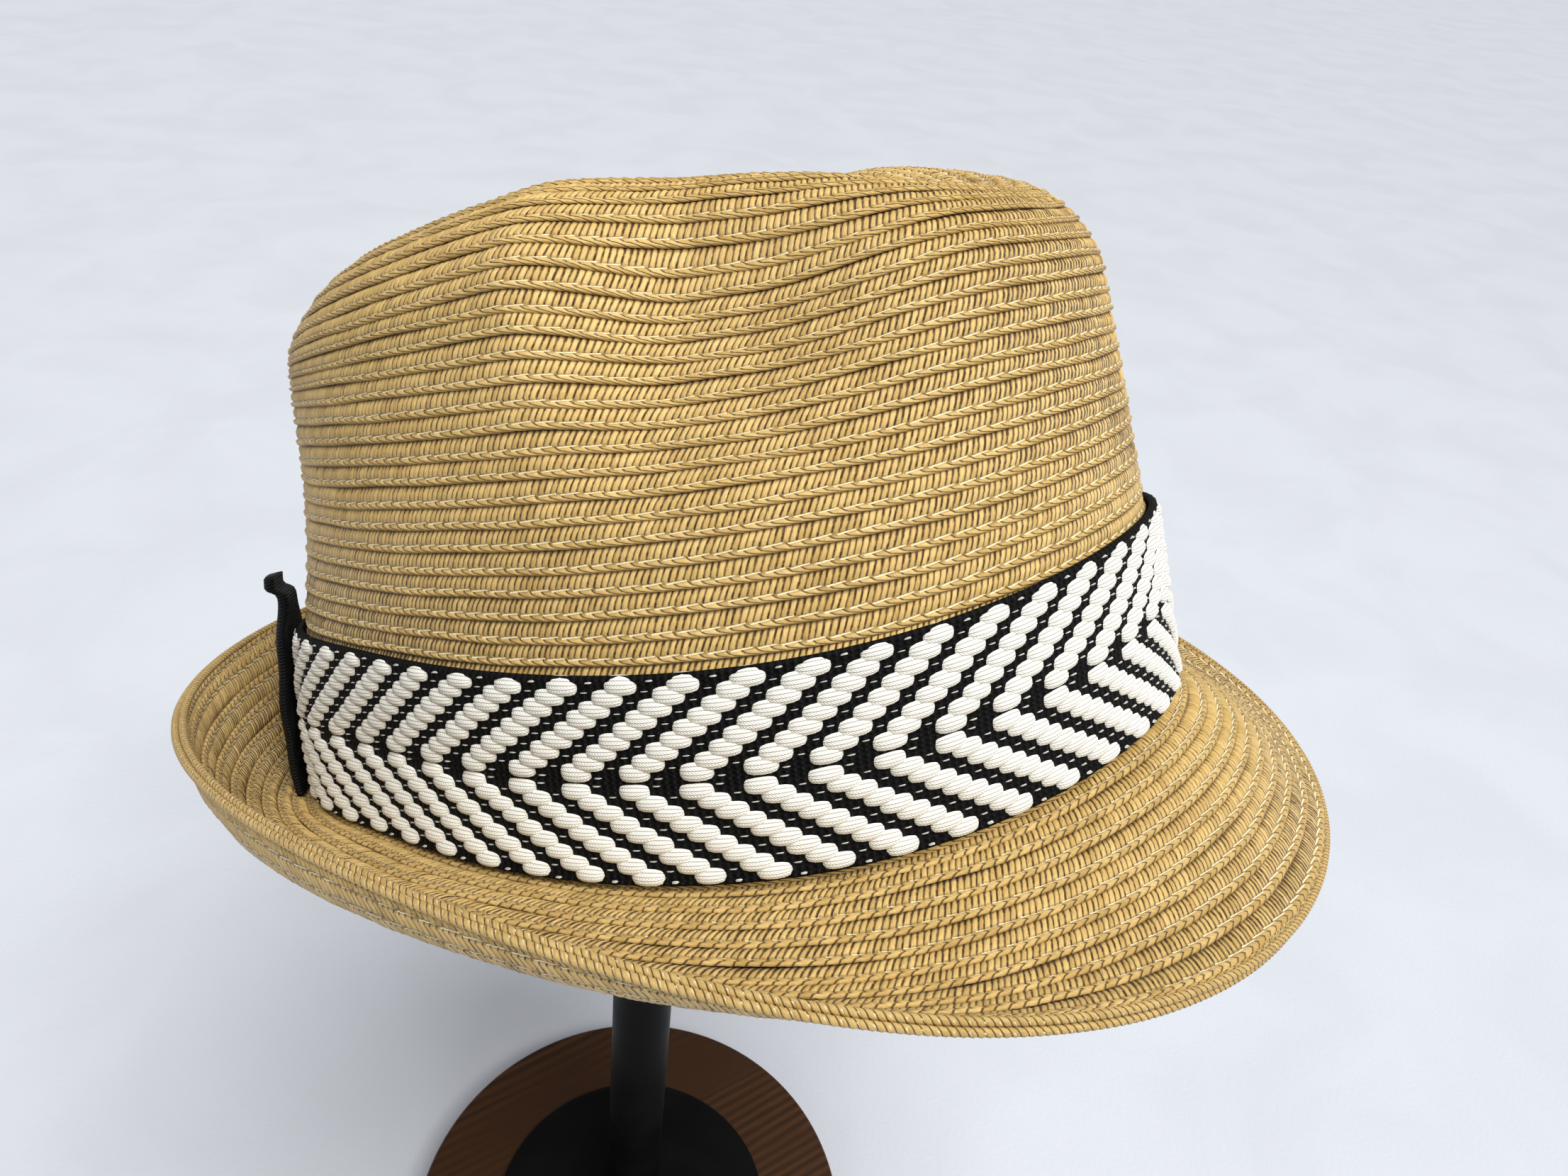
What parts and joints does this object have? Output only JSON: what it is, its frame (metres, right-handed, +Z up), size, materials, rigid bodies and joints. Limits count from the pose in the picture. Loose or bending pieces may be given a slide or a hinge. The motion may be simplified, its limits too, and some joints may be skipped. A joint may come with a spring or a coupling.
{
  "type": "straw fedora on hat stand",
  "caption": "Short-brim straw fedora of sewn paper braid with a wide black and off-white chevron band, resting tilted on a plain pole stand with a round walnut base.",
  "frame": {"origin": "centre of the base's underside, on the pole's axis", "axes": "+Z up along the pole; the hat's front looks towards -Y, with the hat tilted back and to one side on its rest"},
  "size_m": [0.236, 0.2669, 0.4618],
  "materials": {
    "straw_braid": "golden tan paper-straw braid, sewn in rows, with a soft sheen",
    "straw_brim": "golden tan paper-straw braid, sewn in rows, with a roped edge",
    "woven_band": "off-white cotton floats on a black woven ground",
    "black_ribbon": "matt black grosgrain",
    "walnut": "satin oiled walnut with straight grain",
    "black_paint": "satin black",
    "black_plastic": "matt black"
  },
  "bodies": {
    "root": {"crown": "straw_braid", "brim": "straw_brim", "band": "woven_band", "band_tab": "black_ribbon", "stand_base": "walnut", "stand_flange": "black_paint", "stand_pole": "black_paint", "stand_rest": "black_plastic"}
  },
  "joints": []
}
